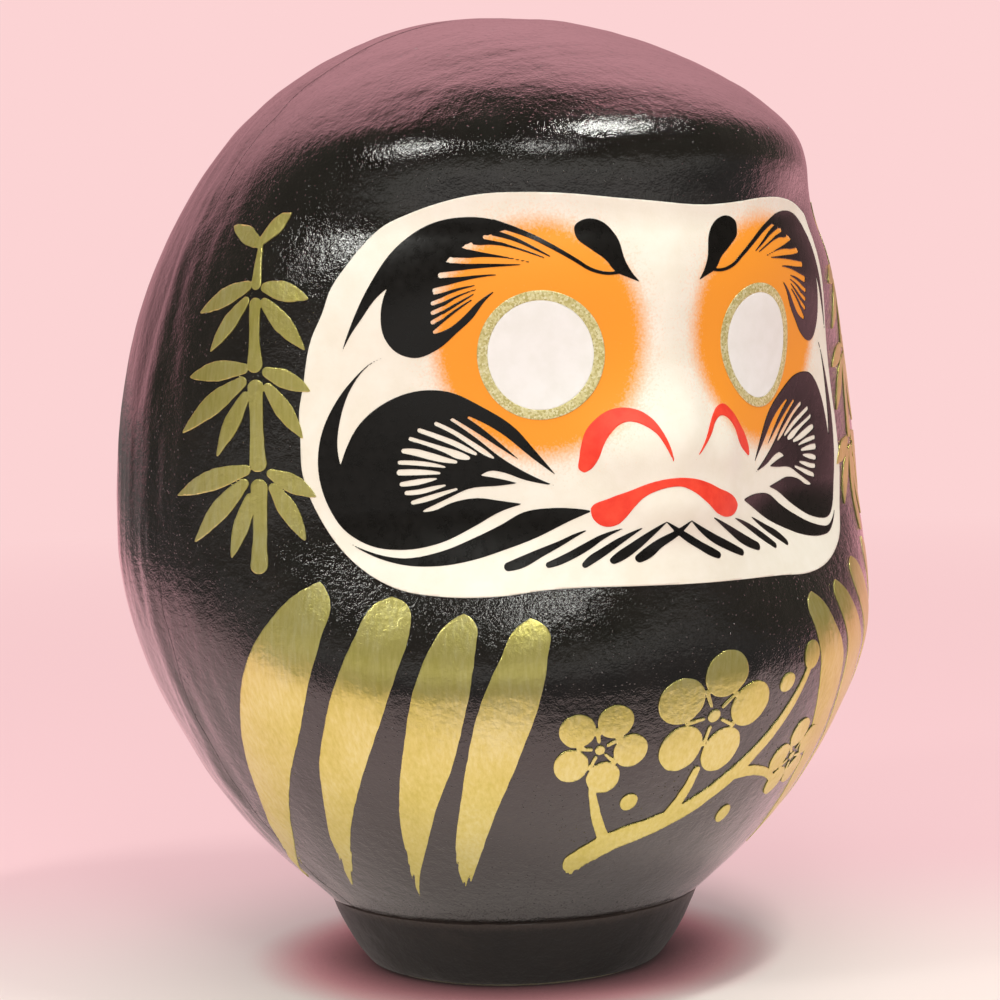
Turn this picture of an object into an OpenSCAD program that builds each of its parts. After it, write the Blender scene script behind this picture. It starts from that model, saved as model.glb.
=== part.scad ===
// Round papier-mache wishing doll with a hollow moulded body on a weighted foot.
// Units are millimetres. The face looks along -Y, the viewer's right is +X, +Z is up,
// and the origin is the centre of the underside, on the surface that the doll stands on.

/* [Overall size] */
// Height from the surface it stands on to the crown
doll_h = 300; // [285:1:315]
// Greatest width across the sides
body_w = 244; // [232:1:256]
// Height of the widest level
belly_z = 138; // [130:1:146]
// How far the whole body swells to the back
back_swell = 5; // [0:0.5:8]

/* [Body profile] */
// Roundness of the upper half: 2 is an ellipse, more is squarer
crown_power = 2.23; // [2:0.01:2.5]
// Roundness of the lower half: under 2 draws it in towards a cone
belly_power = 1.72; // [1.55:0.01:1.95]
// Outer diameter of the open neck at the bottom of the body
neck_d = 121.4; // [114:0.1:128]
// Fullness of the belly below the face
belly_out = 3.5; // [0:0.5:6]

/* [Face hollow] */
// How deep the face is pressed in
face_depth = 18; // [12:0.5:22]
// Azimuth where the flat of the face starts to turn back
face_flat_az = 28; // [20:1:35]
// Azimuth where the hollow has run out into the side
face_edge_az = 92; // [85:1:100]
// Height of the middle of the slope up from the belly
face_floor_z = 127; // [122:1:132]
// Half height of that slope
face_floor_run = 27; // [20:1:32]
// Height of the middle of the slope under the hood
face_roof_z = 248; // [244:1:252]
// Half height of that slope
face_roof_run = 17; // [13:1:22]

/* [Hood] */
// How far the hood stands out over the brow
hood_out = 23; // [16:0.5:26]
// Height of the hood's fullest level
hood_z = 245; // [240:1:250]
// Half height of the hood
hood_run = 47; // [40:1:52]
// Azimuth where the hood starts to run out to the sides
hood_flat_az = 7; // [0:1:15]
// Azimuth where the hood has run out
hood_edge_az = 97; // [90:1:105]

/* [Nose and mouth] */
// How far the muzzle, which carries nose and mouth, stands out
muzzle_out = 15; // [8:0.5:18]
// Half width of the muzzle
muzzle_half_w = 37; // [30:1:44]
// Half height of the muzzle
muzzle_half_h = 39; // [32:1:46]
// Height of the middle of the muzzle
muzzle_z = 160; // [155:1:165]
// How far the tip of the nose stands out of the muzzle
nose_out = 4.5; // [0:0.5:8]
// Height of the nose tip
nose_z = 173; // [168:1:178]
// How far the nostril wings stand out
wing_out = 2.5; // [0:0.5:4]
// Distance of each nostril wing from the middle
wing_x = 19; // [14:1:24]
// How far the bridge between the eyes stands out
bridge_out = 2.5; // [0:0.5:5]
// How far the lips stand out
lip_out = 2.5; // [0:0.5:5]
// Height of the lips
lip_z = 152; // [148:1:156]

/* [Paper] */
// Thickness of the moulded paper wall
wall = 3; // [2:0.1:4]
// Width of the paper strips pasted over the join
strip_w = 16; // [10:1:24]
// Thickness of those strips
strip_t = 0.5; // [0.4:0.1:0.8]

/* [Foot] */
// Height of the join between body and foot
foot_h = 23.5; // [20:0.5:27]
// Diameter of the foot where it meets the surface
foot_d = 94; // [86:1:100]
// How much smaller the rim of the foot is than the neck, on the radius
rim_step = 0.6; // [0:0.1:1.2]
// Thickness of the foot's wall
foot_wall = 8; // [6:0.5:10]
// Thickness of the foot's floor
foot_floor = 6; // [4:0.5:8]
// Thickness of the paper disc pasted under the foot
disc_t = 0.6; // [0.4:0.1:1]
// How far the weight stays below the rim
weight_drop = 3; // [1:0.5:6]
// Height of the glue fillet inside the neck
glue_h = 5; // [3:0.5:7]

/* [Hidden] */

lacquer_black = "#17130F";
paper_cream = "#D9CDB4";
clay_black = "#221D1B";
clay_brown = "#8C6A4C";
glue_amber = "#B98A3C";

lower_rows = 15;
upper_rows = 23;
rows = lower_rows + upper_rows;
front_step = 5;
back_step = 9;
azimuths = [for (a = [-90:front_step:89]) a, for (a = [90:back_step:269]) a];
columns = len(azimuths);

body_r = body_w / 2;
neck_r = neck_d / 2;
foot_r = foot_d / 2;
rim_r = neck_r - rim_step;
crown_rise = doll_h - belly_z;
// depth at which the lower profile would close, so that it passes through the neck
belly_drop = (belly_z - foot_h) / pow(1 - pow(neck_r / body_r, belly_power), 1 / belly_power);
crown_fade = 25;
neck_fade = 30;
belly_full_z = 85;
belly_run = 45;
slack = 1;
fine = 96;

function ease(low, high, x) =
    let (t = max(0, min(1, (x - low) / (high - low))))
    t * t * (3 - 2 * t);
function bump(x, z, at_x, at_z, half_w, half_h) =
    exp(-pow((x - at_x) / half_w, 2) - pow((z - at_z) / half_h, 2));

// radius of the plain round body at height z
function round_r(z) =
    z < belly_z
        ? body_r * pow(1 - pow((belly_z - z) / belly_drop, belly_power), 1 / belly_power)
        : body_r * pow(max(0, 1 - pow((z - belly_z) / crown_rise, crown_power)), 1 / crown_power);

// azimuth turned to the range -180 to 180, with 0 at the face
function face_az(az) = az > 180 ? az - 360 : az;

function hollow(a, z) =
    -face_depth * (1 - ease(face_flat_az, face_edge_az, a))
        * ease(face_floor_z - face_floor_run, face_floor_z + face_floor_run, z)
        * (1 - ease(face_roof_z - face_roof_run, face_roof_z + face_roof_run, z));
function hood(a, z) =
    hood_out * (1 - ease(hood_flat_az, hood_edge_az, a))
        * exp(-pow(abs(z - hood_z) / hood_run, 2.5));
function belly(a, z) =
    belly_out * (1 - ease(10, 110, a)) * exp(-pow((z - belly_full_z) / belly_run, 2));
function features(x, z) =
    muzzle_out * bump(x, z, 0, muzzle_z, muzzle_half_w, muzzle_half_h)
    + nose_out * bump(x, z, 0, nose_z, 13, 13)
    + wing_out * bump(x, z, wing_x, nose_z - 4, 8, 9)
    + bridge_out * bump(x, z, 0, nose_z + 35, 11, 30)
    + lip_out * bump(x, z, 0, lip_z, 24, 7);

// radius of the outside of the body
function skin_r(az, z) =
    let (a = abs(face_az(az)),
         plain = round_r(z),
         x = plain * sin(min(a, 90)),
         edge = sqrt(min(1, (doll_h - z) / crown_fade)) * ease(foot_h, foot_h + neck_fade, z),
         swell = -back_swell * cos(a) * sin(180 * (z - foot_h) / (doll_h - foot_h))
            * ease(foot_h, foot_h + neck_fade, z))
    plain + edge * (hollow(a, z) + hood(a, z) + belly(a, z) + (a < 90 ? features(x, z) : 0)) + swell;

function row_z(i) =
    i < lower_rows
        ? foot_h + (belly_z - foot_h) * i / lower_rows
        : belly_z + crown_rise * sin(90 * (i - lower_rows) / upper_rows);
function skin_rz(az, i) = [skin_r(az, row_z(i)), row_z(i)];

// outward direction of the skin in the upright plane through the axis
function outward(az, i) =
    let (d = 0.1,
         step = skin_rz(az, min(rows, i + d)) - skin_rz(az, max(0, i - d)))
    [step.y, -step.x] / norm(step);

// a point of the skin, moved in by inset; the neck's row stays level
function layer_rz(az, i, inset) =
    let (out = outward(az, i))
    i == 0
        ? skin_rz(az, 0) - [inset / out.x, 0]
        : skin_rz(az, i) - inset * out;
function on_axis_plane(az, rz) = [rz.x * sin(az), -rz.x * cos(az), rz.y];

// the whole body as a solid, moved in by inset and run down by drop below the neck
module body_solid(inset, drop) {
    base_row = [for (az = azimuths)
        on_axis_plane(az, [layer_rz(az, 0, inset).x, foot_h - drop])];
    side_rows = [for (i = [(drop > 0 ? 0 : 1):rows - 1])
        for (az = azimuths) on_axis_plane(az, layer_rz(az, i, inset))];
    points = concat(base_row, side_rows, [[0, 0, doll_h - inset]]);
    levels = floor(len(points) / columns);
    apex = len(points) - 1;
    function spot(level, j) = level * columns + j % columns;
    polyhedron(points, concat(
        [[for (j = [0:columns - 1]) j]],
        [for (k = [0:levels - 2]) for (j = [0:columns - 1])
            [spot(k, j), spot(k + 1, j), spot(k + 1, j + 1)]],
        [for (k = [0:levels - 2]) for (j = [0:columns - 1])
            [spot(k, j), spot(k + 1, j + 1), spot(k, j + 1)]],
        [for (j = [0:columns - 1])
            [spot(levels - 1, j), apex, spot(levels - 1, j + 1)]]));
}

module hollow_body() {
    difference() {
        body_solid(0, 0);
        body_solid(wall, slack);
    }
}

// one half of space, in front of or behind the join
module half(side) {
    translate([-doll_h, side < 0 ? -2 * doll_h : 0, -slack])
        cube([2 * doll_h, 2 * doll_h, 2 * doll_h]);
}

// a paper strip that follows the join between two depths of the wall, from low_z up
module strip(inset_out, inset_in, low_z) {
    intersection() {
        difference() {
            body_solid(inset_out, 0);
            body_solid(inset_in, slack);
        }
        translate([-doll_h, -strip_w / 2, low_z])
            cube([2 * doll_h, strip_w, 2 * doll_h]);
    }
}

module front_shell() {
    color(lacquer_black)
        intersection() {
            hollow_body();
            half(-1);
        }
}

module back_shell() {
    color(lacquer_black)
        intersection() {
            hollow_body();
            half(1);
        }
}

module outer_seam_strip() {
    color(lacquer_black) strip(-strip_t, 0, 0);
}

module inner_seam_strip() {
    color(paper_cream) strip(wall, wall + strip_t, foot_h + glue_h + glue_gap);
}

// outer radius of the foot at height z: full at the rim, drawn in to the base like a bowl
function foot_r_at(z) = foot_r + (rim_r - foot_r) * pow((z - disc_t) / (foot_h - disc_t), 0.75);
foot_levels = [for (k = [0:12]) disc_t + (foot_h - disc_t) * k / 12];
rim_round = 1.2;
floor_z = disc_t + foot_floor;
glue_gap = 0.1;
cavity_base_r = foot_r - foot_wall + 2;
cavity_rim_r = rim_r - foot_wall;
function cavity_r_at(z) =
    cavity_base_r + (cavity_rim_r - cavity_base_r) * (z - floor_z) / (foot_h - floor_z);

module foot_dish() {
    color(clay_black)
        rotate_extrude($fn = fine)
            polygon(concat(
                [[0, disc_t]],
                [for (z = foot_levels) if (z < foot_h - rim_round) [foot_r_at(z), z]],
                [[foot_r_at(foot_h - rim_round), foot_h - rim_round],
                 [rim_r - rim_round * 0.3, foot_h - rim_round * 0.3],
                 [rim_r - rim_round, foot_h],
                 [cavity_rim_r, foot_h],
                 [cavity_base_r, floor_z],
                 [0, floor_z]]));
}

module clay_weight() {
    top_z = foot_h - weight_drop;
    color(clay_brown)
        rotate_extrude($fn = fine)
            polygon([[0, floor_z], [cavity_base_r, floor_z], [cavity_r_at(top_z), top_z], [0, top_z]]);
}

module neck_glue() {
    wall_low = layer_rz(90, 0, wall);
    wall_high = layer_rz(90, 1, wall);
    flat_of_facet = cos(back_step / 2);
    low_r = wall_low.x * flat_of_facet - glue_gap;
    high_r = lookup(foot_h + glue_h, [[wall_low.y, wall_low.x], [wall_high.y, wall_high.x]])
        * flat_of_facet - glue_gap;
    color(glue_amber)
        rotate_extrude($fn = fine)
            polygon([[cavity_rim_r + slack, foot_h], [low_r, foot_h], [high_r, foot_h + glue_h]]);
}

module base_disc() {
    color(paper_cream)
        cylinder(h = disc_t, r = foot_r - 2, $fn = fine);
}

front_shell();
back_shell();
outer_seam_strip();
inner_seam_strip();
foot_dish();
clay_weight();
neck_glue();
base_disc();
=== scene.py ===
import math

import bpy
import numpy as np
from mathutils import Matrix, Vector


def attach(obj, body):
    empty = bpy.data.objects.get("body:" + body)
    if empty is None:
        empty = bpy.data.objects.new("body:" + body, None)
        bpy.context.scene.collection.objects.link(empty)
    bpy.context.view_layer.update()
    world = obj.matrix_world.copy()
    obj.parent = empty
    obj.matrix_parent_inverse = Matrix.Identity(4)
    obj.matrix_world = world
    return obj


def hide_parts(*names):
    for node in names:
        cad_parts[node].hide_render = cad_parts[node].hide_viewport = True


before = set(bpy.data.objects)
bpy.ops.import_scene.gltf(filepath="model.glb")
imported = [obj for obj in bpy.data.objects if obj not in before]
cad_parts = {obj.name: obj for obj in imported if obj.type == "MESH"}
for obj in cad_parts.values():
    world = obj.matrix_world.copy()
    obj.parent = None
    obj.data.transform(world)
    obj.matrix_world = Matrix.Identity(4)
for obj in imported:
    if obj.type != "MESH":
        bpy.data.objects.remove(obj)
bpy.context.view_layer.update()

# ---------------------------------------------------------------- paper body
# Two half shells of pasted paper pulp, dried on a mould: a tilted egg with a face
# pressed in under a jutting brow and a low muzzle. A painter lays dark base coats
# on them and a last coat of black gloss lacquer, which shows every fibre below it.
MM = 0.001
DOLL_H = 300.0
BODY_R = 122.0
BELLY_Z = 138.0
NECK_R = 60.7
FOOT_H = 23.5
CROWN_POWER, BELLY_POWER = 2.23, 1.72
CROWN_FADE, NECK_FADE = 25.0, 30.0
BACK_SWELL = 5.0
WALL = 3.0
BELLY_DROP = (BELLY_Z - FOOT_H) / (1 - (NECK_R / BODY_R) ** BELLY_POWER) ** (1 / BELLY_POWER)
# muzzle, nose, one nostril, bridge, lips: how proud, its middle x and z, half width and height
FACE_FORMS = ((15, 0, 160, 37, 39), (4.5, 0, 173, 13, 13), (2.5, 19, 169, 8, 9),
              (2.5, 0, 208, 11, 30), (2.5, 0, 152, 24, 7))


def ease(low, high, x):
    t = np.clip((x - low) / (high - low), 0, 1)
    return t * t * (3 - 2 * t)


def bump(x, z, height, at_x, at_z, half_w, half_h):
    return height * np.exp(-((x - at_x) / half_w) ** 2 - ((z - at_z) / half_h) ** 2)


def round_r(z):
    """Radius of the plain round body at height z, in mm."""
    low = 1 - (np.clip(BELLY_Z - z, 0, None) / BELLY_DROP) ** BELLY_POWER
    high = 1 - (np.clip(z - BELLY_Z, 0, None) / (DOLL_H - BELLY_Z)) ** CROWN_POWER
    return BODY_R * np.where(
        z < BELLY_Z,
        np.clip(low, 0, 1) ** (1 / BELLY_POWER),
        np.clip(high, 0, 1) ** (1 / CROWN_POWER),
    )


def skin_r(az, z):
    """Radius of the body's outside at azimuth az in degrees, 0 at the face, and height z."""
    a = np.abs((az + 180) % 360 - 180)
    plain = round_r(z)
    x = plain * np.sin(np.radians(np.minimum(a, 90)))
    neck = ease(FOOT_H, FOOT_H + NECK_FADE, z)
    edge = np.sqrt(np.clip((DOLL_H - z) / CROWN_FADE, 0, 1)) * neck
    rise = np.clip((z - FOOT_H) / (DOLL_H - FOOT_H), 0, 1)
    swell = -BACK_SWELL * np.cos(np.radians(a)) * np.sin(np.pi * rise) * neck
    # the pressed-in face, the hood that juts over it, and the fuller belly in front
    hollow = -18 * (1 - ease(28, 92, a)) * ease(100, 154, z) * (1 - ease(231, 265, z))
    hood = 23 * (1 - ease(7, 97, a)) * np.exp(-(np.abs(z - 245) / 47) ** 2.5)
    belly = 3.5 * (1 - ease(10, 110, a)) * np.exp(-(((z - 85) / 45) ** 2))
    features = sum(bump(x, z, *form) for form in FACE_FORMS)
    return plain + edge * (hollow + hood + belly + np.where(a < 90, features, 0)) + swell


def swells(x, y, z, seed):
    """Smooth unevenness from -1 to 1, with about one swell per unit of x, y and z."""
    cell = [np.floor(c).astype(np.int64) for c in (x, y, z)]
    part = [ease(0, 1, c - k) for c, k in zip((x, y, z), cell)]
    total = 0
    for corner in np.ndindex(2, 2, 2):
        i, j, k = (c + d for c, d in zip(cell, corner))
        mixed = (i * 73856093 ^ j * 19349663 ^ k * 83492791 ^ seed * 2654435761) & 0x7FFFFFFF
        mixed = ((mixed ^ mixed >> 13) * 1274126177) & 0x7FFFFFFF
        value = ((mixed ^ mixed >> 16) & 0xFFFF) / 32768 - 1
        share = 1
        for p, d in zip(part, corner):
            share = share * (p if d else 1 - p)
        total = total + value * share
    return total


def paper_relief(az, x, y, z):
    """How far the pasted paper stands proud of the mould's form, in mm."""
    a = np.abs((az + 180) % 360 - 180)
    in_face = (1 - ease(55, 75, a)) * ease(118, 134, z) * (1 - ease(238, 252, z))
    at_side = np.exp(-(((a - 90) / 13) ** 2)) * (1 - ease(262, 285, z))
    at_crown = ease(250, 285, z)
    # waves and dimples everywhere, then the tucks pasted down at the sides and the crown
    relief = (
        0.45 * swells(x / 26, y / 26, z / 26, 1)
        + 0.12 * swells(x / 6, y / 6, z / 9, 2)
        + 0.42 * at_side * swells(x / 9, y / 5, z / 32, 3)
        + 0.24 * at_side * swells(x / 6, y / 3.6, z / 13, 4)
        + 0.20 * at_crown * swells(x / 60, y / 9, z / 7, 5)
        + 0.13 * at_crown * swells(x / 26, y / 3.6, z / 3.2, 6)
    )
    return relief * (1 - 0.85 * in_face) * ease(FOOT_H, FOOT_H + 6, z)


def on_skin(az, z, lift=0.0):
    """Points of the finished skin in metres, lifted along its normal by lift in mm."""
    r = np.maximum(skin_r(az, z), 0.3)
    turn, up = 0.5, 0.2
    r_turn = (skin_r(az + turn, z) - skin_r(az - turn, z)) / math.radians(2 * turn)
    above = np.minimum(z + up, DOLL_H - 0.01)
    below = np.minimum(z - up, DOLL_H - 0.05)
    r_up = (skin_r(az, above) - skin_r(az, below)) / (above - below)
    out, side, rise = np.ones_like(r), -r_turn / r, -r_up
    length = np.sqrt(out**2 + side**2 + rise**2)
    out, side, rise = out / length, side / length, rise / length
    sin, cos = np.sin(np.radians(az)), np.cos(np.radians(az))
    x, y = r * sin, -r * cos
    proud = paper_relief(az, x, y, z) + lift
    # the neck's edge is torn, up to 1.3 mm short
    hem = np.clip(swells(az / 26, 0 * z, 0 * z, 31) + 0.4 * swells(az / 7, 0 * z, 0 * z, 32), 0, 1)
    hem = 1.3 * hem * (1 - ease(FOOT_H, FOOT_H + 6, z))
    points = np.stack(
        [
            x + proud * (out * sin + side * cos),
            y + proud * (-out * cos + side * sin),
            z + proud * rise + hem,
        ],
        -1,
    )
    return points * MM


def add_mesh(name, points, faces, material, smooth=True):
    """A mesh object of these points, in metres, with its finish, riding on the doll."""
    mesh = bpy.data.meshes.new(name)
    mesh.from_pydata([tuple(p) for p in points], [], faces)
    mesh.update()
    mesh.validate()
    if smooth:
        mesh.polygons.foreach_set("use_smooth", [True] * len(mesh.polygons))
        mesh.set_sharp_from_angle(angle=math.radians(50))
    mesh.materials.append(material)
    piece = bpy.data.objects.new(name, mesh)
    bpy.context.scene.collection.objects.link(piece)
    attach(piece, "root")
    return piece


def paint(code):
    """Linear colour of an sRGB hex value."""
    parts = [int(code[i : i + 2], 16) / 255 for i in (1, 3, 5)]
    return [c / 12.92 if c <= 0.04045 else ((c + 0.055) / 1.055) ** 2.4 for c in parts] + [1]


def feed(node, sockets):
    """Gives inputs of a node their values, or the nodes or outputs that feed them."""
    for key, value in sockets.items():
        if isinstance(value, bpy.types.Node):
            value = next(output for output in value.outputs if output.enabled)
        if isinstance(value, bpy.types.NodeSocket):
            node.id_data.links.new(value, node.inputs[key])
        else:
            node.inputs[key].default_value = paint(value) if isinstance(value, str) else value


def add_node(tree, kind, sockets=None, stops=None, **settings):
    """Adds a shader node with its settings, its colour stops and what feeds its inputs."""
    node = tree.nodes.new("ShaderNode" + kind)
    for key, value in settings.items():
        setattr(node, key, value)
    if stops:
        while len(node.color_ramp.elements) < len(stops):
            node.color_ramp.elements.new(1.0)
        for element, (at, colour) in zip(node.color_ramp.elements, stops):
            element.position = at
            element.color = paint(colour) if isinstance(colour, str) else colour
    feed(node, sockets or {})
    return node


def finish(name):
    """A new material: its nodes, its shader, and the place on the doll for its patterns."""
    material = bpy.data.materials.new(name)
    material.use_nodes = True
    tree = material.node_tree
    place = add_node(tree, "TexCoord").outputs["Object"]
    return material, tree, tree.nodes["Principled BSDF"], place


# Black nitro lacquer brushed over pasted paper: a hard gloss over a duller base
# coat, pebbled by fibres 0.6 mm apart in clumps of 2.6 mm, with a pin-head nib of
# dust here and there, and faintly clouded every 14 mm or so.
FIBRE_MM, PEBBLE_MM, NIB_MM, MOTTLE_MM = 0.6, 2.6, 1.7, 14.0
lacquer, tree, shader, place = finish("gloss_black_lacquer")
fibre = add_node(tree, "TexNoise", {
    "Vector": place, "Scale": 1 / (FIBRE_MM * MM), "Detail": 2.0, "Roughness": 0.6})
pebble = add_node(tree, "TexNoise", {
    "Vector": place, "Scale": 1 / (PEBBLE_MM * MM), "Detail": 3.0, "Roughness": 0.6})
mottle = add_node(tree, "TexNoise", {
    "Vector": place, "Scale": 1 / (MOTTLE_MM * MM), "Detail": 4.0, "Roughness": 0.6})
nibs = add_node(tree, "TexVoronoi", {"Vector": place, "Scale": 1 / (NIB_MM * MM)}, feature="F1")
nib_height = add_node(tree, "MapRange", {
    "Value": nibs, "From Min": 0.0, "From Max": 0.18, "To Min": 1.0, "To Max": 0.0},
    interpolation_type="SMOOTHSTEP")
tone = add_node(tree, "ValToRGB", {"Fac": mottle}, stops=[
    (0.3, "#0D0B0A"), (0.55, "#141110"), (0.75, "#1B1715")])
gloss = add_node(tree, "MapRange", {
    "Value": mottle, "From Min": 0.3, "From Max": 0.7, "To Min": 0.08, "To Max": 0.16})
relief = add_node(tree, "Bump", {"Height": pebble, "Strength": 1.0, "Distance": 0.28 * MM})
relief = add_node(tree, "Bump", {
    "Height": fibre, "Normal": relief, "Strength": 1.0, "Distance": 0.11 * MM})
relief = add_node(tree, "Bump", {
    "Height": nib_height, "Normal": relief, "Strength": 1.0, "Distance": 0.2 * MM})
feed(shader, {
    "Base Color": tone, "Roughness": gloss, "IOR": 1.6, "Coat Weight": 1.0, "Coat Roughness": 0.05,
    "Coat IOR": 1.55, "Normal": relief, "Coat Normal": relief})

LOWER_ROWS, UPPER_ROWS, COLUMNS = 72, 136, 240
COARSE = 4
row_z = np.concatenate([
    np.linspace(FOOT_H, BELLY_Z, LOWER_ROWS, endpoint=False),
    BELLY_Z + (DOLL_H - BELLY_Z) * np.sin(np.linspace(0, math.pi / 2, UPPER_ROWS + 1)),
])[:-1]


def half_shell(name, first_az, node):
    """One half of the body, closed: its outside, its coarser inside and the cut rims."""
    azimuths = first_az + np.linspace(0, 180, COLUMNS + 1)
    az, z = np.meshgrid(azimuths, row_z)
    outside = on_skin(az, z)
    outside[:, [0, -1], 1] = 0
    outside[0, :, 2] = FOOT_H * MM
    inside = on_skin(az[::COARSE, ::COARSE], z[::COARSE, ::COARSE], -WALL)
    inside[:, [0, -1], 1] = 0
    inside[0, :, 2] = FOOT_H * MM
    rows, columns = az.shape
    in_rows, in_columns = inside.shape[:2]
    points = np.concatenate([outside.reshape(-1, 3), inside.reshape(-1, 3)])
    apex, in_apex = len(points), len(points) + 1
    points = np.concatenate([points, [[0, 0, DOLL_H * MM], [0, 0, (DOLL_H - WALL) * MM]]])
    out_at = lambda i, j: i * columns + j
    in_at = lambda i, j: rows * columns + i * in_columns + j
    faces = [(out_at(i, j), out_at(i, j + 1), out_at(i + 1, j + 1), out_at(i + 1, j))
             for i in range(rows - 1) for j in range(columns - 1)]
    faces += [(out_at(rows - 1, j), out_at(rows - 1, j + 1), apex) for j in range(columns - 1)]
    faces += [(in_at(i, j), in_at(i + 1, j), in_at(i + 1, j + 1), in_at(i, j + 1))
              for i in range(in_rows - 1) for j in range(in_columns - 1)]
    faces += [(in_at(in_rows - 1, j + 1), in_at(in_rows - 1, j), in_apex)
              for j in range(in_columns - 1)]
    for j in range(in_columns - 1):
        rim = [out_at(0, j * COARSE + k) for k in range(COARSE, -1, -1)]
        faces.append((*rim, in_at(0, j), in_at(0, j + 1)))
    for side, in_side in ((0, 0), (columns - 1, in_columns - 1)):
        for i in range(in_rows):
            last = i == in_rows - 1
            reach = rows - 1 - i * COARSE if last else COARSE
            rim = [out_at(i * COARSE + k, side) for k in range(reach + 1)]
            rim += [apex, in_apex] if last else [in_at(i + 1, in_side)]
            rim.append(in_at(i, in_side))
            faces.append(tuple(rim if side == 0 else rim[::-1]))
    piece = add_mesh(name, points, faces, lacquer)
    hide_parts(node)


half_shell("front_half_shell", -90, "front_shell")
half_shell("back_half_shell", 90, "back_shell")

# ---------------------------------------------------------------- seam strips
# A 16 mm strip of thin paper is pasted over the join of the halves, outside and
# in, from one side of the neck over the crown to the other. The outer one is
# lacquered with the body and shows as a low ridge with torn, creased edges.
STRIP_HALF, STRIP_T = 8.0, 0.5
STRIP_EDGE = STRIP_HALF - 0.9
STRIP_ROWS, STRIP_COLUMNS = 520, 24
across = np.linspace(-1, 1, STRIP_COLUMNS + 1)
along = np.linspace(-1, 1, STRIP_ROWS + 1)
across, along = np.meshgrid(across, along)
torn = 1.1 * swells(along * 45, np.sign(across), np.zeros_like(across), 7)
y = across * STRIP_EDGE + torn * across**4
turn_end = np.arctan2(np.sqrt(NECK_R**2 - y**2), FOOT_H - BELLY_Z)
turn = along * turn_end
# halving finds where each line out of the belly's middle leaves the skin
short, long = np.zeros_like(y), np.full_like(y, 220.0)
for _ in range(40):
    reach = (short + long) / 2
    x, z = reach * np.sin(turn), BELLY_Z + reach * np.cos(turn)
    az = np.degrees(np.arctan2(x, -y))
    outside = (z >= DOLL_H) | (np.hypot(x, y) > skin_r(az, np.minimum(z, DOLL_H)))
    short, long = np.where(outside, short, reach), np.where(outside, reach, long)
z = np.clip(z, FOOT_H, DOLL_H - 0.001)
feather = 1 - ease(0.25, 1.0, np.abs(across))
top_side = on_skin(az, z, 0.05 + (STRIP_T - 0.05) * feather)
under_side = on_skin(az, z, -0.15)
for side in (top_side, under_side):
    side[[0, -1], :, 2] = FOOT_H * MM
rows, columns = z.shape
count = rows * columns
quads = [(i * columns + j, i * columns + j + 1, (i + 1) * columns + j + 1, (i + 1) * columns + j)
         for i in range(rows - 1) for j in range(columns - 1)]
edge = [i * columns for i in range(rows)] + [(rows - 1) * columns + j for j in range(1, columns)]
edge += [i * columns + columns - 1 for i in range(rows - 2, -1, -1)]
edge += list(range(columns - 2, 0, -1))
faces = [q[::-1] for q in quads] + [tuple(v + count for v in q) for q in quads]
faces += [(a, b, b + count, a + count)[::-1] for a, b in zip(edge, edge[1:] + edge[:1])]
strip = add_mesh("outer_paper_strip",
                 np.concatenate([top_side.reshape(-1, 3), under_side.reshape(-1, 3)]),
                 faces, lacquer)
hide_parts("outer_seam_strip")

# Undyed paper pulp, as the inner strip and the disc under the foot show it:
# a matt, warm off-white clouded by tangled fibres, about 1.5 mm apart.
bare_paper, tree, shader, place = finish("undyed_paper")
fibres = add_node(tree, "TexNoise", {
    "Vector": place, "Scale": 1 / (1.5 * MM), "Detail": 6.0, "Roughness": 0.7, "Distortion": 1.2})
tone = add_node(tree, "ValToRGB", {"Fac": fibres}, stops=[
    (0.3, "#CBBB9B"), (0.6, "#DCCFB4"), (0.8, "#E8DEC8")])
relief = add_node(tree, "Bump", {"Height": fibres, "Strength": 0.5, "Distance": 0.2 * MM})
feed(shader, {"Base Color": tone, "Roughness": 0.92, "Normal": relief})


def dress(node, material):
    """Gives a CAD node that stays its finish."""
    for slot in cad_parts[node].material_slots:
        slot.material = material


dress("inner_seam_strip", bare_paper)
dress("base_disc", bare_paper)

# ---------------------------------------------------------------- brush work
# Everything painted is a thin film on the skin. A film's outline is drawn on the
# skin laid flat: s is mm round the face from its middle, z is height in mm.
SHEET_R = 105.0
CUTS = 5


def curve(points):
    """A smooth line through the points, which may carry a width as well."""
    p = np.array(points, float)
    if len(p) < 3:
        return p
    step = np.diff(p, axis=0)
    length = np.maximum(np.hypot(step[:, 0], step[:, 1]), 1e-6)[:, None]
    slope = step / length
    tangent = (slope[:-1] * length[1:] + slope[1:] * length[:-1]) / (length[1:] + length[:-1])
    first = 2 * slope[0] - tangent[0]
    last = 2 * slope[-1] - tangent[-1]
    tangent = np.concatenate([[first], tangent, [last]])
    t = (np.arange(CUTS) / CUTS)[None, :, None]
    a, b = p[:-1, None], p[1:, None]
    m, n = tangent[:-1, None] * length[:, None], tangent[1:, None] * length[:, None]
    line = (a * (2 * t**3 - 3 * t**2 + 1) + m * (t**3 - 2 * t**2 + t)
            + b * (3 * t**2 - 2 * t**3) + n * (t**3 - t**2))
    return np.concatenate([line.reshape(-1, p.shape[1]), p[-1:]])


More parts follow.
